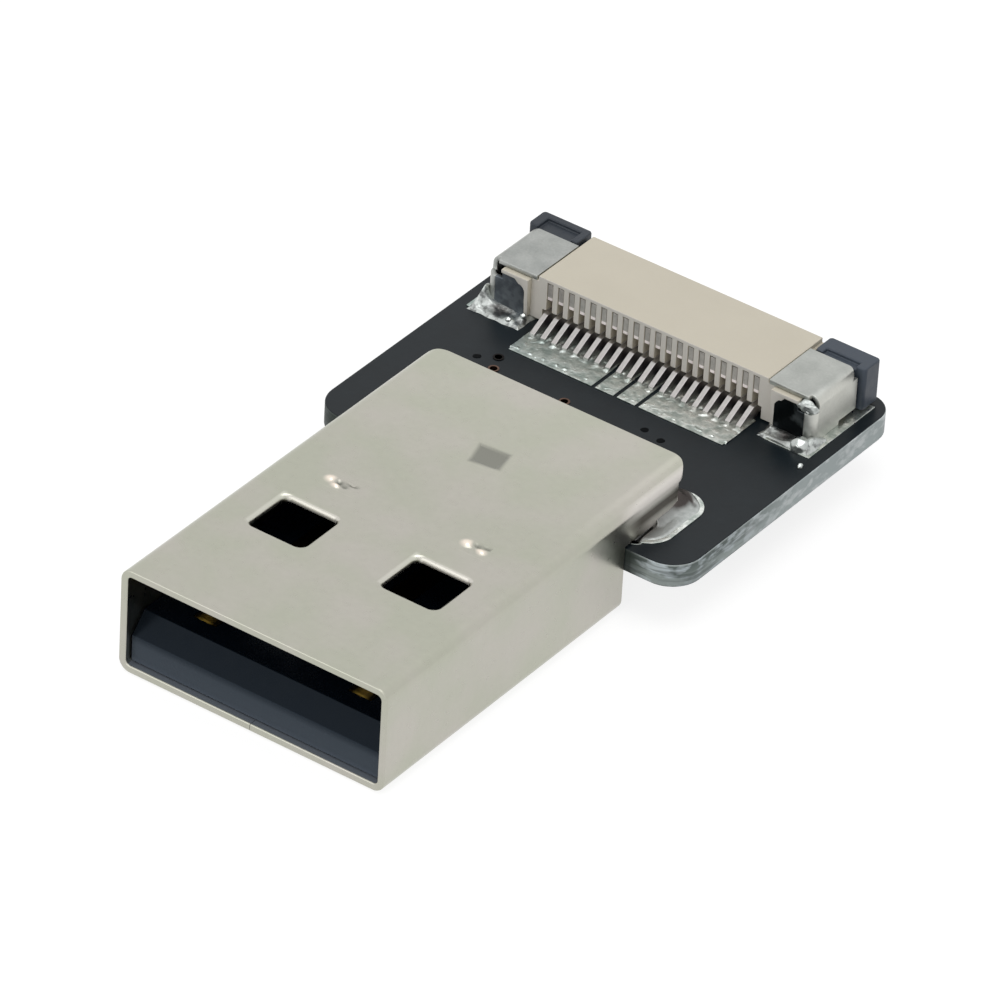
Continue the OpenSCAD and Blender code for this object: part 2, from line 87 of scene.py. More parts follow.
class Look:
    """A material under construction: its node tree and its main shader."""

    def __init__(self, name, **sockets):
        self.material = bpy.data.materials.new(name)
        self.material.use_nodes = True
        self.tree = self.material.node_tree
        self.shader = self.tree.nodes["Principled BSDF"]
        metres = self.add("ShaderNodeTexCoord").outputs["Object"]
        self.place = self.scaled(metres, (1 / MM,) * 3)
        for socket, value in sockets.items():
            self.shader.inputs[socket.replace("_", " ")].default_value = value

    def add(self, kind, inputs=None, **settings):
        """A new node. Inputs are numbers, colours or sockets, by name or by index."""
        node = self.tree.nodes.new(kind)
        for key, value in settings.items():
            setattr(node, key, value)
        for key, value in (inputs or {}).items():
            if isinstance(value, bpy.types.NodeSocket):
                self.tree.links.new(value, node.inputs[key])
            else:
                node.inputs[key].default_value = value
        return node

    def link(self, socket, key):
        """Gives the main shader an input."""
        self.tree.links.new(socket, self.shader.inputs[key])

    def scaled(self, vector, factors):
        """A vector with each coordinate multiplied by a factor."""
        return self.add("ShaderNodeMapping", {"Vector": vector, "Scale": factors}).outputs[0]

    def grain(self, size, detail=3.0, along=(1, 1, 1)):
        """Noise of a feature size, from 0 to 1, made finer along the axes by a factor."""
        inputs = {"Vector": self.scaled(self.place, along), "Scale": 1 / size, "Detail": detail}
        return self.add("ShaderNodeTexNoise", inputs).outputs["Fac"]

    def ramp(self, value, *stops):
        """Colours or greys at rising places along a value, and the same beyond the ends."""
        low, high = stops[0][0], stops[-1][0]
        inputs = {"Value": value, "From Min": low, "From Max": high}
        share = self.add("ShaderNodeMapRange", inputs).outputs[0]
        ramp = self.add("ShaderNodeValToRGB", {"Fac": share})
        elements = ramp.color_ramp.elements
        while len(elements) < len(stops):
            elements.new(0.5)
        for element, (place, tone) in zip(elements, stops):
            element.position = (place - low) / (high - low)
            grey = isinstance(tone, (int, float))
            element.color = (tone,) * 3 + (1,) if grey else tuple(tone) + (1,)
        return ramp.outputs["Color"]

    def mix(self, share, low, high, blend="MIX"):
        """One colour where the share is 0, the other where it is 1."""
        colours = {
            key: value if isinstance(value, bpy.types.NodeSocket) else tuple(value) + (1,)
            for key, value in ((6, low), (7, high))
        }
        inputs = {0: share, **colours}
        return self.add("ShaderNodeMix", inputs, data_type="RGBA", blend_type=blend).outputs[2]

    def tinted(self, tone, factor):
        """A colour multiplied by another one, or by a grey."""
        return self.mix(1.0, tone, factor, "MULTIPLY")

    def calc(self, operation, *values, clamp=False):
        """The outcome of a sum on numbers or sockets, kept from 0 to 1 if it is clamped."""
        inputs = dict(enumerate(values))
        return self.add("ShaderNodeMath", inputs, operation=operation, use_clamp=clamp).outputs[0]

    def product(self, first, *others):
        """Values multiplied: of masks, the place that they share."""
        for other in others:
            first = self.calc("MULTIPLY", first, other)
        return first

    def axis(self, name, source=None):
        """One coordinate of the surface's place, or of a vector."""
        return self.add("ShaderNodeSeparateXYZ", {0: source or self.place}).outputs[name]

    def outward(self):
        """The distance from the middle plane."""
        return self.calc("ABSOLUTE", self.axis("X"))

    def band(self, value, low, high, soft):
        """1 where a value lies between low and high, falling to 0 over soft beyond them."""
        off = self.calc("ABSOLUTE", self.calc("SUBTRACT", value, (low + high) / 2))
        inside = self.calc("SUBTRACT", (high - low) / 2 + soft, off)
        return self.calc("DIVIDE", inside, soft, clamp=True)

    def below(self, value, limit):
        """1 where a value is below a limit, 0 elsewhere."""
        return self.calc("LESS_THAN", value, limit)

    def above(self, value, limit):
        """1 where a value is above a limit, 0 elsewhere."""
        return self.calc("GREATER_THAN", value, limit)

    def bump(self, height, depth, under=None):
        """Bump of a depth over a height from 0 to 1."""
        inputs = {"Height": height, "Distance": depth * MM}
        if under is not None:
            inputs["Normal"] = under
        return self.add("ShaderNodeBump", inputs).outputs["Normal"]

    def lighten_darken(self, tone, bright, dark):
        """A tone, painted towards bright where the attribute below is -1 and towards dark where it
        is 1.
        """
        lighten_darken = self.add("ShaderNodeAttribute", attribute_name="lighten_darken").outputs["Fac"]
        tone = self.mix(self.calc("MULTIPLY", lighten_darken, -1.0, clamp=True), tone, bright)
        return self.mix(self.calc("MULTIPLY", lighten_darken, 1.0, clamp=True), tone, dark)


def colour(hex_code):
    """A colour as it is seen, written as six hex digits, in Blender's linear values."""
    parts = [int(hex_code[i : i + 2], 16) / 255 for i in (0, 2, 4)]
    return tuple(p / 12.92 if p <= 0.04045 else ((p + 0.055) / 1.055) ** 2.4 for p in parts)


# ---- Looks ----


def painted_roof_sheen(look):
    """A factor of painted sheen: the shell's roof is painted brighter towards its rear, and most
    by its right border.
    """
    rear = look.ramp(look.axis("Y"), (11, 0), (18, 1))
    on_top = look.above(look.axis("Z"), 4.38)
    border = look.band(look.axis("X"), 5.36, 5.48, 0.16)
    roof_sheen = look.product(look.calc("MULTIPLY_ADD", border, 1.6, 0.7), rear, on_top)
    return look.calc("MULTIPLY_ADD", roof_sheen, 0.09, 1.0)


def painted_wall_reflections(look):
    """Painted reflections on the shell's walls over the solder rings: a dark band of the board,
    with pale bands of light above it and of the solder below it.
    """
    y, z = look.axis("Y"), look.axis("Z")
    beside = look.ramp(look.outward(), (5.75, 0), (5.92, 1))
    wall = look.product(beside, look.ramp(y, (14.3, 0), (15.6, 1)))
    painted_dark_reflection = look.ramp(z, (3.0, 0.1), (3.3, 0.6), (3.45, 1), (3.675, 1), (3.85, 0.5), (4.0, 0))
    upper = look.ramp(z, (3.675, 0), (3.8, 0.35), (3.925, 0.8), (4.05, 1))
    lower = look.ramp(z, (3.0, 0.6), (3.2, 0.5), (3.4, 0))
    lower = look.product(lower, look.ramp(y, (15.4, 0), (16.2, 1)))
    return look.product(wall, painted_dark_reflection), look.product(wall, look.calc("ADD", upper, lower))


def window_edges_and_highlights(look):
    """The sheared rear edges of the upper latch windows, and a painted highlight on their rim
    edges towards -X.
    """
    x, y, z = (look.axis(name) for name in "XYZ")
    sheared = look.product(
        look.band(y, 7.43, 7.56, 0.03),
        look.band(look.outward(), 1.75, 4.25, 0.1),
        look.band(z, 4.1, 4.46, 0.03),
    )
    left, right = look.band(x, -4.36, -4.26, 0.08), look.band(x, 1.64, 1.74, 0.08)
    rim_highlight = look.product(look.calc("MAXIMUM", left, right), look.band(y, 5.3, 7.5, 0.15))
    return sheared, rim_highlight


def mouth_floor(look):
    """The floor of the mouth in front of the tongue, where light is painted."""
    return look.product(
        look.band(look.axis("Y"), 0.07, 0.4, 0.02),
        look.band(look.axis("Z"), 0.1, 0.36, 0.02),
        look.below(look.outward(), 5.62),
    )


def nickel_look(name="satin_nickel", rough=0.27):
    """Satin nickel on rolled steel: faint cloudy patches and fine grain.

    The walls over the solder rings carry painted reflections, the windows' sheared edges are dull
    and pale, and the mouth's floor is painted a matte blue-grey as painted light. Patches are
    painted bright or dark by their own attribute, as painted highlights and shade.
    """
    look = Look(name)
    clouds, grain = look.grain(2.6, 2), look.grain(0.3, 4)
    tone = look.mix(look.ramp(clouds, (0.35, 0), (0.65, 1)), colour("b3b4a6"), colour("b9b6ad"))
    tone = look.tinted(tone, look.ramp(grain, (0.30, 0.975), (0.70, 1.015)))
    # Painted sheen on the roof
    tone = look.tinted(tone, painted_roof_sheen(look))
    # Painted reflections on the walls over the solder rings, dark of the board and pale of light
    # and solder
    painted_dark_reflection, matte_and_painted_light = painted_wall_reflections(look)
    sheared, rim_highlight = window_edges_and_highlights(look)
    painted_mouth_light = mouth_floor(look)
    # The dull, pale sheared edges join the pale painted reflection, and neither is metal
    matte_and_painted_light = look.calc("MAXIMUM", matte_and_painted_light, look.product(sheared, 0.4))
    tone = look.mix(painted_dark_reflection, tone, colour("6d6660"))
    tone = look.mix(matte_and_painted_light, tone, colour("f4efe8"))
    # Painted highlight on the windows' rim edges towards -X
    tone = look.mix(look.product(rim_highlight, 0.3), tone, colour("f0f0e6"))
    # Painted light: the mouth's floor is painted a matte blue-grey
    tone = look.mix(painted_mouth_light, tone, colour("6a7078"))
    # Patches paint highlights on burrs, and shade in dents and on the tab
    look.link(look.lighten_darken(tone, colour("f2e6d8"), colour("86867e")), "Base Color")
    look.link(look.calc("SUBTRACT", 1.0, look.calc("MAXIMUM", matte_and_painted_light, painted_mouth_light)), "Metallic")
    look.link(look.ramp(grain, (0.3, rough), (0.7, rough + 0.05)), "Roughness")
    waves = look.bump(look.grain(4.0, 1), 0.012)
    look.link(look.bump(look.grain(0.25, 1), 0.001, under=waves), "Normal")
    return look.material


def black_plastic_look():
    """Black moulding with a blue cast; the tongue's front face is painted grey, lighter towards
    its foot and darker towards its top, as painted light and shade.
    """
    look = Look("black_plastic", IOR=1.2, Specular_Tint=(0.7, 0.85, 1.0, 1))
    grain = look.grain(0.5, 3)
    tone = look.mix(grain, colour("060c14"), colour("0a111a"))
    # Painted light and shade on the tongue's front face, by height
    face = look.ramp(
        look.axis("Z"),
        (0.38, colour("575f69")),
        (0.60, colour("464e57")),
        (1.16, colour("424a53")),
        (1.40, colour("2a323b")),
    )
    low = look.ramp(look.axis("Z"), (1.44, 1), (1.48, 0))
    front = look.product(low, look.below(look.axis("Y"), 0.34))
    look.link(look.mix(front, tone, face), "Base Color")
    look.link(look.ramp(grain, (0.3, 0.2), (0.7, 0.3)), "Roughness")
    look.link(look.bump(grain, 0.003), "Normal")
    return look.material


def gold_look():
    """Gold plating, painted dark towards each contact's edges and from 4.5 mm into the mouth,
    leaving a painted glint along the middle of the front.
    """
    look = Look("gold_plate", Metallic=1.0, Roughness=0.45)
    # Painted highlight along each contact's middle near the front, painted shade elsewhere
    outer = look.band(look.outward(), 3.42, 3.62, 0.28)
    inner = look.band(look.outward(), 0.92, 1.12, 0.28)
    front = look.below(look.axis("Y"), 4.5)
    bright = look.product(look.calc("MAXIMUM", outer, inner), front)
    plate = look.mix(look.grain(0.4, 3), colour("c09a3c"), colour("dcbc66"))
    look.link(look.mix(bright, colour("2e2410"), plate), "Base Color")
    look.link(look.bump(look.grain(0.1, 2), 0.001), "Normal")
    return look.material


def mask_look():
    """Black solder mask on the faces, cut glass-fibre laminate round the edge."""
    look = Look("solder_mask", IOR=1.28)
    normal = look.add("ShaderNodeNewGeometry").outputs["True Normal"]
    edge = look.below(look.calc("ABSOLUTE", look.axis("Z", normal)), 0.5)
    mask = look.mix(look.grain(0.8, 3), colour("11171b"), colour("192126"))
    glass = look.ramp(
        look.axis("Z"),
        (1.82, colour("6c7573")),
        (1.88, colour("bcc6c4")),
        (2.22, colour("a8b2b0")),
        (2.42, colour("848e8b")),
        (2.70, colour("6a7471")),
        (2.77, colour("b4bcba")),
    )
    blotches = look.ramp(look.grain(0.55, 3, along=(0.8, 0.8, 1.6)), (0.47, 0), (0.62, 0.9))
    laminate = look.mix(blotches, glass, colour("d2dce0"))
    layers = look.grain(0.45, 2, along=(0.25, 0.25, 3))
    laminate = look.mix(look.ramp(layers, (0.5, 0), (0.62, 0.5)), laminate, colour("3c4541"))
    # Painted shade makes it dark beside the shell, and painted light makes it pale towards the
    # board's rear
    by_shell = look.ramp(look.axis("X"), (6.2, 0.92), (7.0, 0))
    laminate = look.mix(by_shell, laminate, colour("272f2b"))
    rear = look.ramp(look.axis("Y"), (17.4, 0), (22.2, 0.95))
    laminate = look.mix(rear, laminate, look.mix(blotches, colour("c8d2d2"), colour("f0f6f6")))
    look.link(look.mix(edge, mask, laminate), "Base Color")
    look.link(look.mix(edge, (0.32,) * 3, (0.55,) * 3), "Roughness")
    look.link(look.bump(look.grain(0.4, 3), 0.004), "Normal")
    return look.material


def tent_look():
    """Glossy black mask over a via."""
    look = Look("tented_mask", IOR=1.1)
    grain = look.grain(0.1, 2)
    look.link(look.mix(grain, colour("030506"), colour("0a0d10")), "Base Color")
    look.link(look.ramp(grain, (0.3, 0.3), (0.7, 0.4)), "Roughness")
    return look.material


def tinned_look():
    """Hot-air-levelled tin on copper: satin and lumpy, painted a little darker towards -X as
    painted shade.
    """
    look = Look("tinned_pad", Metallic=1.0)
    grain = look.grain(0.3, 4)
    tone = look.mix(look.ramp(grain, (0.35, 0), (0.65, 1)), colour("adb6b0"), colour("f0f3ee"))
    # Painted shade towards -X
    shade = look.ramp(
        look.axis("X"),
        (-4.5, colour("dfe5e6")),
        (0, colour("f0f3f2")),
        (3, colour("ffffff")),
    )
    look.link(look.tinted(tone, shade), "Base Color")
    look.link(look.ramp(grain, (0.3, 0.42), (0.7, 0.26)), "Roughness")
    look.link(look.bump(grain, 0.03), "Normal")
    return look.material


def solder_look(name="solder", rough=0.2, depth=0.008, blotched=0.0):
    """Reflowed solder, satin with dark blotches; its attribute paints it bright or dark."""
    look = Look(name, Metallic=1.0)
    grain = look.grain(0.22, 3)
    tone = look.mix(grain, colour("a4aaa7"), colour("cfd2d0"))
    blotches = look.ramp(look.grain(0.3, 4), (0.5, 0), (0.62, blotched))
    tone = look.mix(blotches, tone, colour("5f6060"))
    look.link(look.lighten_darken(tone, colour("ffffff"), colour("4b4644")), "Base Color")
    look.link(look.ramp(grain, (0.35, rough + 0.16), (0.65, rough)), "Roughness")
    look.link(look.bump(grain, depth), "Normal")
    return look.material


def bronze_look():
    """Tinned bronze, dull on the spines in the housing's slots.

    The hook at the foot of each spine has a painted highlight, and the gap below it is painted
    dark brown as shade tinted by the ivory around it.
    """
    look = Look("tinned_bronze")
    grain = look.grain(0.15, 3)
    inside = look.above(look.axis("Y"), 24.66)
    up = look.axis("Z")
    # Painted shade in the gap under each hook, and a painted highlight on the hook
    gap = look.product(inside, look.band(up, 3.56, 3.86, 0.08))
    hook = look.product(inside, look.band(up, 3.90, 4.02, 0.04))
    spine = look.product(inside, look.band(up, 4.0, 4.6, 0.05))
    tone = look.mix(grain, colour("a6a3a1"), colour("c2bfbd"))
    tone = look.mix(gap, tone, colour("5c4238"))
    tone = look.mix(spine, tone, look.mix(grain, colour("8e8a85"), colour("c4bfb9")))
    look.link(look.mix(hook, tone, colour("fff4f2")), "Base Color")
    matte_and_painted_light = look.product(look.calc("MAXIMUM", spine, hook), 0.7)
    look.link(look.calc("SUBTRACT", 1.0, matte_and_painted_light), "Metallic")
    look.link(look.ramp(grain, (0.3, 0.3), (0.7, 0.45)), "Roughness")
    look.link(look.bump(grain, 0.003), "Normal")
    return look.material


def steel_look():
    """Dull tin on the folded nails: greenish grey, painted brighter on the sides and on the right
    nail as painted light.

    The rear flange is painted dark as a painted reflection of the board, darker and mottled on the
    right.
    """
    look = Look("tinned_steel", Metallic=1.0)
    clouds, grain = look.grain(0.8, 4), look.grain(0.1, 4)
    tone = look.mix(look.ramp(clouds, (0.3, 0), (0.7, 1)), colour("9c9f9c"), colour("b0b2af"))
    normal = look.add("ShaderNodeNewGeometry").outputs["Normal"]
    side = look.calc("ABSOLUTE", look.axis("X", normal))
    # Painted light: sides that face along X are painted brighter
    tone = look.mix(look.ramp(side, (0.3, 0), (0.9, 1)), tone, colour("c4c4be"))
    tone = look.tinted(tone, look.ramp(grain, (0.3, 0.94), (0.7, 1.04)))
    right = look.above(look.axis("X"), 0.0)
    # Painted light: the right nail is painted brighter
    tone = look.mix(look.product(right, 0.16), tone, colour("d8dad0"))
    # Painted reflection of the dark board on the rear flanges, darker and mottled on the right
    flange = look.product(
        look.below(look.axis("Y"), 24.55),
        look.below(look.axis("Z"), 4.47),
        look.below(look.outward(), 7.12),
    )
    thin = look.ramp(look.grain(0.35, 4), (0.42, 0), (0.62, 1))
    left_flange_reflection = look.mix(thin, colour("5a6066"), colour("70767b"))
    thin = look.ramp(clouds, (0.48, 0), (0.66, 1))
    right_flange_reflection = look.mix(thin, colour("15191b"), colour("5a6062"))
    flange_reflection = look.mix(right, left_flange_reflection, right_flange_reflection)
    look.link(look.mix(flange, tone, flange_reflection), "Base Color")
    look.link(look.ramp(clouds, (0.3, 0.40), (0.7, 0.52)), "Roughness")
    look.link(look.bump(clouds, 0.02, under=look.bump(grain, 0.002)), "Normal")
    return look.material


def copper_look():
    """Bare copper, brown; the ring of the via nearest to the left nail is dark."""
    look = Look("copper", Metallic=1.0, Roughness=0.35)
    tone = look.mix(look.grain(0.2, 2), colour("4a382e"), colour("7a6054"))
    dark = look.above(look.axis("Y"), 21.3)
    look.link(look.mix(dark, tone, colour("1d1a19")), "Base Color")
    look.link(look.bump(look.grain(0.1, 2), 0.002), "Normal")
    return look.material


def ivory_look():
    """Ivory plastic, cloudy, and painted lighter and greyer on faces towards -Y, such as the
    comb's face, as painted light.
    """
    look = Look("ivory_plastic", Roughness=0.5)
    tone = look.mix(look.grain(1.8, 3), colour("c9c2b1"), colour("d0c9b8"))
    normal = look.add("ShaderNodeNewGeometry").outputs["Normal"]
    # Painted light on faces towards -Y
    facing = look.calc("MULTIPLY", look.axis("Y", normal), -0.9, clamp=True)
    look.link(look.mix(facing, tone, colour("cfcbc4")), "Base Color")
    look.link(look.ramp(look.grain(0.2, 3), (0.3, 0.44), (0.7, 0.58)), "Roughness")
    look.link(look.bump(look.grain(0.1, 3), 0.002), "Normal")
    return look.material


def slate_look():
    """Slate-coloured plastic, painted darker towards -X as painted shade."""
    look = Look("slate_plastic", IOR=1.4)
    clouds = look.grain(0.4, 4)
    tone = look.mix(clouds, colour("3a424c"), colour("464e59"))
    # Painted shade towards -X
    shade = look.ramp(look.axis("X"), (-7, 0.5), (0, 0.9), (7, 1.0))
    look.link(look.tinted(tone, shade), "Base Color")
    look.link(look.ramp(clouds, (0.3, 0.36), (0.7, 0.5)), "Roughness")
    look.link(look.bump(look.grain(0.12, 3), 0.004), "Normal")
    return look.material


# ---- CAD nodes ----


def paint(item, material):
    """One material all over, in place of those from the CAD."""
    item.data.materials.clear()
    item.data.materials.append(material)
    for polygon in item.data.polygons:
        polygon.material_index = 0


def smooth(item, angle):
    """Smooth shading, apart from edges sharper than an angle in degrees."""
    mesh = item.data
    mesh.polygons.foreach_set("use_smooth", [True] * len(mesh.polygons))
    mesh.set_sharp_from_angle(angle=math.radians(angle))


def add_piece(name, mesh, material, angle):
    """A piece of the board's body, smooth apart from edges sharper than an angle."""
    piece = bpy.data.objects.new(name, mesh)
    bpy.context.scene.collection.objects.link(piece)
    paint(piece, material)
    smooth(piece, angle)
    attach(piece, "board")
    return piece


def soften(item, width):
    """Rounds a CAD node's sharp edges with modifiers, which leave its own mesh as it is."""
    weld = item.modifiers.new("weld", "WELD")
    weld.merge_threshold = WELD * MM
    flat = item.modifiers.new("flat", "DECIMATE")
    flat.decimate_type = "DISSOLVE"
    flat.angle_limit = math.radians(FLAT_ANGLE)
    bevel = item.modifiers.new("bevel", "BEVEL")
    bevel.width = width * MM
    bevel.segments = 2
    bevel.limit_method = "ANGLE"
    bevel.angle_limit = math.radians(SHARP_ANGLE)
    bevel.use_clamp_overlap = False
    bevel.harden_normals = True


def softened_copy(node, material, width, reach, spared=None, wide=None, wide_width=0):
    """A copy of a CAD node with rounded edges, in place of the node.

    The sharp edges within a reach along Y are rounded by width, but those whose ends are both
    spared stay sharp, and those whose ends are both wide are rounded by wide_width.
    """
    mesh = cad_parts[node].data.copy()
    work = bmesh.new()
    work.from_mesh(mesh)
    work.transform(Matrix.Scale(1 / MM, 4))
    bmesh.ops.remove_doubles(work, verts=work.verts, dist=WELD)
    flat = math.radians(FLAT_ANGLE)
    bmesh.ops.dissolve_limit(work, angle_limit=flat, verts=work.verts, edges=work.edges)

    def ends(edge, test):
        return test is not None and all(test(v.co) for v in edge.verts)

    def sharp(of_wide):
        return [
            e
            for e in work.edges
            if e.is_manifold
            and e.calc_face_angle() > math.radians(SHARP_ANGLE)
            and all(reach[0] < v.co.y < reach[1] for v in e.verts)
            and not ends(e, spared)
            and ends(e, wide) == of_wide
        ]

    for size, segments, of_wide in ((width, 2, False), (wide_width, 5, True)):
        edges = sharp(of_wide)
        if edges:
            bmesh.ops.bevel(
                work,
                geom=edges,
                offset=size,
                segments=segments,
                profile=0.5,
                affect="EDGES",
                clamp_overlap=False,
            )
    work.transform(Matrix.Scale(MM, 4))
    work.to_mesh(mesh)
    work.free()
    piece = add_piece(node + "_sheet", mesh, material, 35)
    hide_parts(node)
    # Large faces keep their own normals, so that only the rounded edges shade smoothly
    normals = piece.modifiers.new("normals", "WEIGHTED_NORMAL")
    normals.weight, normals.keep_sharp = 100, True


def by_seam(at):
    """On the seam under the shell."""
    return abs(at.x) < 0.72 and at.z < 0.31


def on_window_rim(at):
    """On the upper rim of a latch window."""
    return 1.5 < abs(at.x) < 4.5 and 5 < at.y < 7.6 and at.z > SHELL_TOP - 0.01


def dress_nodes():
    """Gives each CAD node its look and rounded edges. Sheet metal and moulding need copies."""
    tin = (tinned_look(), 0.015)
    looks = {
        "pcb": (mask_look(), 0.05),
        "via_barrels": (copper_look(), 0),
        "ffc_housing": (ivory_look(), 0.03),
        "slider": (slate_look(), 0.06),
        "usb_contact": (gold_look(), 0.02),
        "ffc_contact": (bronze_look(), 0.02),
        "ffc_pad": tin,
        "nail_pad": tin,
        "usb_pad": tin,
        "slot_plating": tin,
    }
    for name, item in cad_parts.items():
        for prefix, (material, width) in looks.items():
            if name.startswith(prefix):
                paint(item, material)
                if width:
                    soften(item, width)
    softened_copy(
        "usb_shell",
        nickel_look(),
        0.05,
        (-1, 14.55),
        spared=by_seam,
        wide=on_window_rim,
        wide_width=0.22,
    )
    softened_copy("usb_insulator", black_plastic_look(), 0.03, (-1, 20))
    steel = steel_look()
    for side in ("left", "right"):
        softened_copy("nail_" + side, steel, 0.03, (0, 26.85))


# ---- Patches: solder, dents and other uneven surfaces ----


def bell(x, y, at, size):
    """A round bump, 1 at its middle, of a size along X and along Y."""
    return math.exp(-(((x - at[0]) / size[0]) ** 2) - ((y - at[1]) / size[1]) ** 2)


def bells(x, y, bumps):
    """The sum of several bumps, each given as its place, its size and its height."""
    return sum(height * bell(x, y, at, size) for at, size, height in bumps)


def ridge(value, width):
    """1 where a value is 0, falling off on both sides over a width."""
    return math.exp(-((value / width) ** 2))


def clamped(value, low, high):
    """The nearest value that isn't below low or above high."""
    return min(max(value, low), high)


def ease(value):
    """0 below 0, 1 above 1, and a smooth step between."""
    value = clamped(value, 0, 1)
    return value * value * (3 - 2 * value)


def box_mask(x, y, low, high, soft):
    """1 well inside a rectangle, 0 outside it, over a soft border."""
    inside = min(x - low[0], high[0] - x, y - low[1], high[1] - y)
    return ease(inside / soft)


def in_bar(x, y, middle, low, high, radius):
    """How far a place lies inside a round-ended bar along Y; below 0 outside it."""
    return radius - math.hypot(x - middle, y - clamped(y, low, high))


def wobble(x, y, size, seed):
    """Smooth noise from about -1 to 1 with bumps of a size."""
    return noise.noise(Vector((x / size, y / size, seed)))


def patch(name, low, high, step, shape, material, replaces=None):
    """A surface over a rectangle of the XY plane.

    shape(x, y) gives the height and how bright (-1) or dark (1) the place is painted.
    """
    columns = round((high[0] - low[0]) / step) + 1
    rows = round((high[1] - low[1]) / step) + 1
    points, lighten_darken = [], []
    for j in range(rows):
        for i in range(columns):
            x, y = low[0] + i * step, low[1] + j * step
            z, wear = shape(x, y)
            points.append((x * MM, y * MM, z * MM))
            lighten_darken.append(clamped(wear, -1, 1))
    faces = [
        (k, k + 1, k + columns + 1, k + columns)
        for j in range(rows - 1)
        for k in range(j * columns, (j + 1) * columns - 1)
    ]
    mesh = bpy.data.meshes.new(name)
    mesh.from_pydata(points, [], faces)
    mesh.attributes.new("lighten_darken", "FLOAT", "POINT").data.foreach_set("value", lighten_darken)
    piece = add_piece(name, mesh, material, 180)
    if replaces:
        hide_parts(replaces)


def shell_skin(x, y, low, high):
    """Height of a patch on the shell: just proud of the sheet, and sunk into it at its border."""
    return SHELL_TOP - 0.012 + 0.016 * box_mask(x, y, low, high, 0.1)


def punch_shape(marks, low, high):
    """Height of a punch mark: burrs, painted bright as highlights, and dents, painted dark as
    shade.
    """

    def shape(x, y):
        rise = bells(x, y, marks)
        clear_rise = max(rise - 0.01, 0) if rise > 0 else rise
        return shell_skin(x, y, low, high) + rise, -clear_rise / FULL_SHINE_SHADE

    return shape


def tab_shape(x, y):
    """Height of the locking tab: a small parallelogram pressed into the shell's top."""
    corners = ((-0.36, 13.45), (0.88, 13.68), (0.64, 14.74), (-0.68, 14.62))
    inside = []
    for k in range(4):
        (ax, ay), (bx, by) = corners[k], corners[(k + 1) % 4]
        cross = (bx - ax) * (y - ay) - (by - ay) * (x - ax)
        inside.append(cross / math.hypot(bx - ax, by - ay))
    pressed = ease(min(inside) / 0.24 + 0.5)
    depth = 0.04 * pressed * box_mask(x, y, (-0.68, 13.57), (0.78, 14.68), 0.15)
    depth += 0.02 * bell(x, y, (-0.56, 13.72), (0.12, 0.2)) * (1 - pressed)
    # The pressed face is painted dark, as painted shade
    return shell_skin(x, y, (-1.0, 13.3), (1.06, 14.9)) - depth, 0.95 * pressed


def leg_solder_shape(side):
    """Height of the solder on a leg's ring: a smooth plateau that climbs the shell's wall.

    It has a slit along the leg, and a rim round its rear end with a low heap inside it.
    """

    def shape(x, y):
        u = x * side
        on_ring = in_bar(u, y, 5.85, 16.3, 18.0, 1.07)
        slit = ease(in_bar(u, y, 5.93, 14.9, 16.4, 0.19) / 0.07)
        # The dent and the rim behind it run along an arc round the plateau's rear end
        off_arc = math.hypot(u - 6.08, y - 18.05) - 0.5
        rear = ease((y - 18.2) / 0.25) * ease((6.6 - u) / 0.15) * ease((u - 6.0) / 0.15)
        dent = ridge(off_arc, 0.09) * rear
        rim = ridge(off_arc - 0.2, 0.14) * ease((y - 17.9) / 0.3)
        swell = 0.03 * ease(on_ring / 0.7) + 0.008 * wobble(u, y, 0.8, 7)
        climb = 0.16 * ease((6.35 - u) / 0.4) * ease((y - 16.3) / 0.3)
        heap = bell(u, y, (5.70, 18.15), (0.36, 0.40)) * (1 + 0.2 * wobble(u, y, 0.3, 4))
        plateau = ease(on_ring / 0.3) * (0.08 + swell + climb + 0.03 * rim - 0.025 * dent)
        height = plateau + 0.4 * heap - 0.3 * slit
        # Painted shade and reflection: darker a little all over, more near the slit's front, by
        # the wall and in the dent, and most over the heap under the shell
        painted_shade_and_reflection = 0.1 + 0.35 * bell(u, y, (6.3, 16.0), (0.3, 0.9)) + 0.5 * dent + 4 * heap
        painted_shade_and_reflection += 0.45 * ease((6.45 - u) / 0.4)
        return BOARD_TOP + max(height - 0.01, -0.3), painted_shade_and_reflection

    return shape


def nail_solder_shape(side, low, high, mounds, dark_patches):
    """Height of the solder in front of a nail: a thin layer on the pad with mounds in it, and
    darker patches.
    """

    def shape(x, y):
        u = x * side
        inside = min(u - low[0], high[0] - u, y - low[1])
        edge = ease((inside + 0.09 * wobble(u, y, 0.5, 11)) / 0.22)
        rough = 0.006 * wobble(u, y, 0.14, 5) + 0.02 * wobble(u, y, 0.5, 15)
        height = edge * (0.08 + rough + bells(u, y, mounds))
        return BOARD_TOP + height - 0.01, bells(u, y, dark_patches)

    return shape


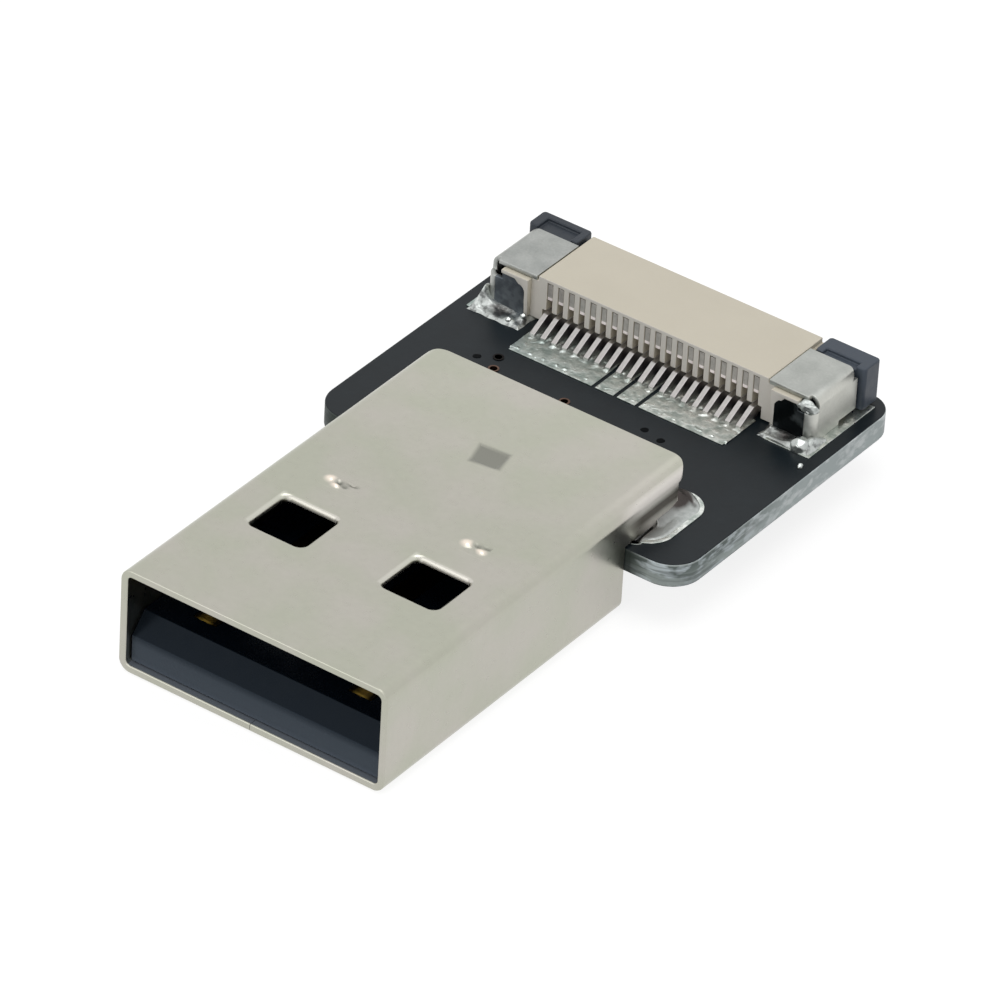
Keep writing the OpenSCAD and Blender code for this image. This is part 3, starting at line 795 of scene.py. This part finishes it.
def toe_solder_shape(x, y):
    """Height of the solder that wets each contact's toe on the pad strips."""
    beside = (x + OUTER_CONTACT) % CONTACT_PITCH
    beside = min(beside, CONTACT_PITCH - beside)
    toe = ridge(beside, 0.14) * ease((y - 23.3) / 0.25) * ease((24.3 - y) / 0.3)
    swell = 0.5 + 0.5 * wobble(x, y, 0.3, 21)
    to_gap = min(abs(x), abs(x - 1), abs(x + 1))
    gap = 1 - ease((to_gap - 0.08) / 0.05)
    rough = 0.018 * wobble(x, y, 0.14, 2) + 0.02 * max(wobble(x, y, 0.3, 9), 0)
    front = ease((y - 22.46 + 0.07 * wobble(x, 0, 0.22, 31)) / 0.06)
    bead = 0.09 * max(wobble(x, y, 0.2, 33), 0) * ridge(y - 22.58, 0.1)
    height = 0.09 * toe * swell + rough + bead - 0.2 * gap
    # The beads are marked bright for a painted highlight, which the tinned look doesn't read
    return STRIP_TOP + height - 0.07 * (1 - front), -3 * bead


def tent_shape(at):
    """Height of a via that the solder mask covers: a low disc."""

    def shape(x, y):
        r = math.hypot(x - at[0], y - at[1]) + 0.03 * wobble(x, y, 0.2, 3)
        return BOARD_TOP + 0.014 * ease((0.19 - r) / 0.08) - 0.004, 0

    return shape


def blob(name, at, radii, rough, seed, material, cap=1.0):
    """A smooth lump of solder: an icosphere pushed in and out by noise.

    Beyond a cap height from 0 to 1 towards FACET, the lump is nearly flat, and shines there.
    """
    facet = Vector(FACET).normalized()
    lumpiness, flatness = 1.6, 0.88
    work = bmesh.new()
    bmesh.ops.create_icosphere(work, subdivisions=4, radius=1)
    for vertex in work.verts:
        swell = 1 + rough * noise.noise(vertex.co * lumpiness + Vector((seed, 0, 0)))
        spot = vertex.co * swell
        spot -= flatness * max(spot.dot(facet) - cap, 0) * facet
        spot = Vector(c * r for c, r in zip(spot, radii))
        vertex.co = mm(*(Vector(at) + spot))
    mesh = bpy.data.meshes.new(name)
    work.to_mesh(mesh)
    work.free()
    add_piece(name, mesh, material, 180)


def lip(name, side, material):
    """Rim of the housing that shows between a nail's rear flange and its roof."""
    outline = (
        (5.60, 2.95),
        (5.86, 2.95),
        (5.90, 4.05),
        (6.22, 4.43),
        (6.84, 4.43),
        (6.84, 4.585),
        (5.60, 4.585),
    )
    work = bmesh.new()
    rear = [work.verts.new(mm(x * side, 24.66, z)) for x, z in outline]
    front = [work.verts.new(mm(x * side, 24.43 if z < 4.4 else 24.36, z)) for x, z in outline]
    work.faces.new(rear)
    work.faces.new(list(reversed(front)))
    for k in range(len(outline)):
        n = (k + 1) % len(outline)
        work.faces.new((rear[n], rear[k], front[k], front[n]))
    bmesh.ops.recalc_face_normals(work, faces=work.faces)
    bmesh.ops.bevel(
        work, geom=work.edges[:], offset=0.025 * MM, segments=2, profile=0.5, affect="EDGES"
    )
    mesh = bpy.data.meshes.new(name)
    work.to_mesh(mesh)
    work.free()
    add_piece(name, mesh, material, 40)


# Burrs and dents of the punch marks: place, size and height of each
PUNCH_LEFT = (
    ((-3.54, 9.27), (0.22, 0.20), 0.10),
    ((-3.14, 9.02), (0.18, 0.12), 0.09),
    ((-3.16, 9.30), (0.15, 0.12), -0.08),
    ((-2.86, 9.20), (0.16, 0.12), -0.06),
    ((-2.66, 9.44), (0.26, 0.09), -0.06),
)
PUNCH_RIGHT = (
    ((2.72, 9.20), (0.24, 0.22), 0.10),
    ((3.42, 9.06), (0.22, 0.16), 0.09),
    ((3.06, 9.32), (0.20, 0.14), -0.06),
    ((3.04, 8.94), (0.24, 0.10), -0.04),
    ((3.50, 9.42), (0.24, 0.10), -0.05),
)

# Solder in front of the nails: the layer's extent, the mounds in it and its darker patches
NAIL_SOLDER = {
    "left": (
        (5.35, 23.55),
        (7.80, 26),
        (
            ((7.64, 24.50), (0.30, 0.60), 0.66),
            ((7.20, 24.30), (0.40, 0.30), 0.16),
            ((6.02, 23.88), (0.20, 0.17), 0.16),
            ((5.64, 24.24), (0.21, 0.19), 0.20),
            ((6.50, 24.50), (0.60, 0.22), 0.14),
        ),
        (((6.6, 24.15), (0.45, 0.3), 0.85),),
    ),
    "right": (
        (5.45, 23.72),
        (7.88, 26),
        (
            ((7.20, 24.10), (0.50, 0.42), 0.24),
            ((7.52, 24.55), (0.24, 0.40), 0.26),
            ((6.36, 24.40), (0.40, 0.30), 0.14),
            ((5.72, 24.48), (0.30, 0.36), 0.16),
        ),
        (
            ((6.45, 24.2), (0.4, 0.4), 0.9),
            ((7.5, 23.9), (0.16, 0.2), 0.45),
        ),
    ),
}

# Vias that the solder mask covers
TENTED_VIAS = ((-5.57, 21.21), (2.11, 21.32), (2.98, 21.13))

SIDES = (("left", -1), ("right", 1))


def mark_shell():
    """The punch marks behind the latch windows, and the locking tab."""
    look = nickel_look("pressed_nickel", 0.34)
    left = punch_shape(PUNCH_LEFT, (-3.95, 8.72), (-2.20, 9.76))
    patch("punch_mark_left", (-4.02, 8.64), (-2.12, 9.84), 0.02, left, look)
    right = punch_shape(PUNCH_RIGHT, (2.12, 8.60), (3.90, 9.76))
    patch("punch_mark_right", (2.04, 8.52), (3.98, 9.84), 0.02, right, look)
    patch("locking_tab_face", (-1.08, 13.22), (1.14, 14.98), 0.02, tab_shape, look)


def add_solder():
    """Solder at the shell's legs, the nails and the contacts' toes, with its loose beads."""
    solder = solder_look()
    dull = solder_look("dull_solder", 0.34, 0.012)
    mottled = solder_look("mottled_solder", 0.3, 0.03, 0.8)
    for side, sign in SIDES:
        near, far = sorted((4.7 * sign, 7.0 * sign))
        skin, node = "leg_solder_skin_" + side, "leg_solder_" + side
        patch(skin, (near, 15.1), (far, 19.2), 0.03, leg_solder_shape(sign), dull, node)
    for side, sign in SIDES:
        near, far = sorted((5.2 * sign, 8.05 * sign))
        skin, node = "nail_solder_skin_" + side, "nail_solder_" + side
        shape = nail_solder_shape(sign, *NAIL_SOLDER[side])
        patch(skin, (near, 23.35), (far, 25.1), 0.025, shape, mottled, node)
    patch("toe_solder", (-4.98, 22.42), (4.98, 24.46), 0.04, toe_solder_shape, tinned_look())
    blob("relief_solder_right", (7.19, 24.48, 4.42), (0.40, 0.19, 0.25), 0.4, 4, dull)
    blob("relief_bead_right", (7.24, 24.42, 4.30), (0.12, 0.12, 0.12), 0.1, 5, solder, 0.85)
    blob("nail_dome_right", (7.27, 24.04, 2.93), (0.40, 0.38, 0.38), 0.12, 6, solder, 0.93)
    blob("nail_bead_left", (-6.00, 23.82, 2.92), (0.13, 0.13, 0.13), 0.1, 9, solder, 0.85)
    blob("nail_bead_inner", (-5.61, 24.21, 3.06), (0.12, 0.12, 0.12), 0.1, 10, solder, 0.85)
    blob("board_splash", (7.96, 23.06, 2.84), (0.10, 0.14, 0.13), 0.2, 8, solder, 0.85)


def add_lips():
    """The rims of the housing beside the nails."""
    ivory = ivory_look()
    for side, sign in SIDES:
        lip("housing_lip_" + side, sign, ivory)


def tent_vias():
    """Discs of solder mask over the vias that it covers."""
    mask = tent_look()
    half = 0.3
    for i, at in enumerate(TENTED_VIAS):
        low, high = [c - half for c in at], [c + half for c in at]
        patch(f"tented_via_{i + 1}", low, high, 0.02, tent_shape(at), mask)


# ---- Stage ----


def seen(nodes, links):
    """1 for camera, glossy and transmission rays, which see the plain background."""
    path = nodes.new("ShaderNodeLightPath")
    total = path.outputs["Is Camera Ray"]
    for ray in ("Is Glossy Ray", "Is Transmission Ray"):
        add = nodes.new("ShaderNodeMath")
        add.operation = "ADD"
        add.use_clamp = True
        links.new(total, add.inputs[0])
        links.new(path.outputs[ray], add.inputs[1])
        total = add.outputs[0]
    return total


def make_floor():
    """A grey floor that keeps the object's shadow; its glow, where seen, makes it white."""
    corners = [mm(x * FLOOR_HALF, y * FLOOR_HALF) for x, y in ((-1, -1), (1, -1), (1, 1), (-1, 1))]
    mesh = bpy.data.meshes.new("floor")
    mesh.from_pydata([(x, y, 0) for x, y in corners], [], [(0, 1, 2, 3)])
    floor = bpy.data.objects.new("floor", mesh)
    bpy.context.scene.collection.objects.link(floor)
    floor.location.z = -FLOOR_DROP * MM
    material = bpy.data.materials.new("white_floor")
    material.use_nodes = True
    nodes, links = material.node_tree.nodes, material.node_tree.links
    nodes.clear()
    shade = nodes.new("ShaderNodeBsdfDiffuse")
    shade.inputs["Color"].default_value = (FLOOR_GREY,) * 3 + (1,)
    glow = nodes.new("ShaderNodeEmission")
    strength = nodes.new("ShaderNodeMath")
    strength.operation = "MULTIPLY"
    strength.inputs[1].default_value = FLOOR_GLOW
    links.new(seen(nodes, links), strength.inputs[0])
    links.new(strength.outputs[0], glow.inputs["Strength"])
    both = nodes.new("ShaderNodeAddShader")
    links.new(shade.outputs[0], both.inputs[0])
    links.new(glow.outputs[0], both.inputs[1])
    out = nodes.new("ShaderNodeOutputMaterial")
    links.new(both.outputs[0], out.inputs["Surface"])
    mesh.materials.append(material)


def make_world():
    """White where the camera and reflections look; a softer grey room lights the object."""
    world = bpy.data.worlds.new("studio")
    bpy.context.scene.world = world
    world.use_nodes = True
    nodes, links = world.node_tree.nodes, world.node_tree.links
    nodes.clear()
    pick = nodes.new("ShaderNodeMapRange")
    pick.inputs["To Min"].default_value = ROOM_LIGHT
    pick.inputs["To Max"].default_value = BACKGROUND
    links.new(seen(nodes, links), pick.inputs["Value"])
    background = nodes.new("ShaderNodeBackground")
    links.new(pick.outputs[0], background.inputs["Strength"])
    background.inputs["Color"].default_value = (1, 1, 1, 1)
    out = nodes.new("ShaderNodeOutputWorld")
    links.new(background.outputs[0], out.inputs["Surface"])


def make_lamps():
    """Square area lamps that face what the camera looks at."""
    aim = mm(*CAMERA_AIM)
    for name, (direction, size, power) in LAMPS.items():
        data = bpy.data.lights.new(name, "AREA")
        data.shape = "SQUARE"
        data.size = size
        data.energy = power
        lamp = bpy.data.objects.new(name, data)
        bpy.context.scene.collection.objects.link(lamp)
        lamp.location = aim + Vector(direction).normalized() * LAMP_DISTANCE
        lamp.rotation_euler = (aim - lamp.location).to_track_quat("-Z", "Y").to_euler()


def make_camera():
    """A long lens at the photograph's angle."""
    data = bpy.data.cameras.new("camera")
    data.sensor_width = 36
    data.lens = CAMERA_LENS
    data.clip_start, data.clip_end = 0.01, 10
    camera = bpy.data.objects.new("camera", data)
    bpy.context.scene.collection.objects.link(camera)
    at, aim = mm(*CAMERA_AT), mm(*CAMERA_AIM)
    camera.location = at
    camera.rotation_mode = "QUATERNION"
    roll = Quaternion((0, 0, 1), math.radians(CAMERA_ROLL))
    camera.rotation_quaternion = (aim - at).to_track_quat("-Z", "Y") @ roll
    bpy.context.scene.camera = camera


# ---- The scene ----

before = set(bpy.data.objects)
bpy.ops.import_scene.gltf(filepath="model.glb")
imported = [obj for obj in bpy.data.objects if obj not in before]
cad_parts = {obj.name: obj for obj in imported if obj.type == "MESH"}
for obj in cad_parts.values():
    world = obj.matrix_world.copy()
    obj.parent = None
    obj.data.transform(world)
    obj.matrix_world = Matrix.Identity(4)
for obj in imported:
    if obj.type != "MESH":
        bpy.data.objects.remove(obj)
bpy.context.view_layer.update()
bpy.context.scene.view_settings.view_transform = "Standard"
make_camera()
make_world()
make_floor()
make_lamps()
dress_nodes()
mark_shell()
add_solder()
add_lips()
tent_vias()
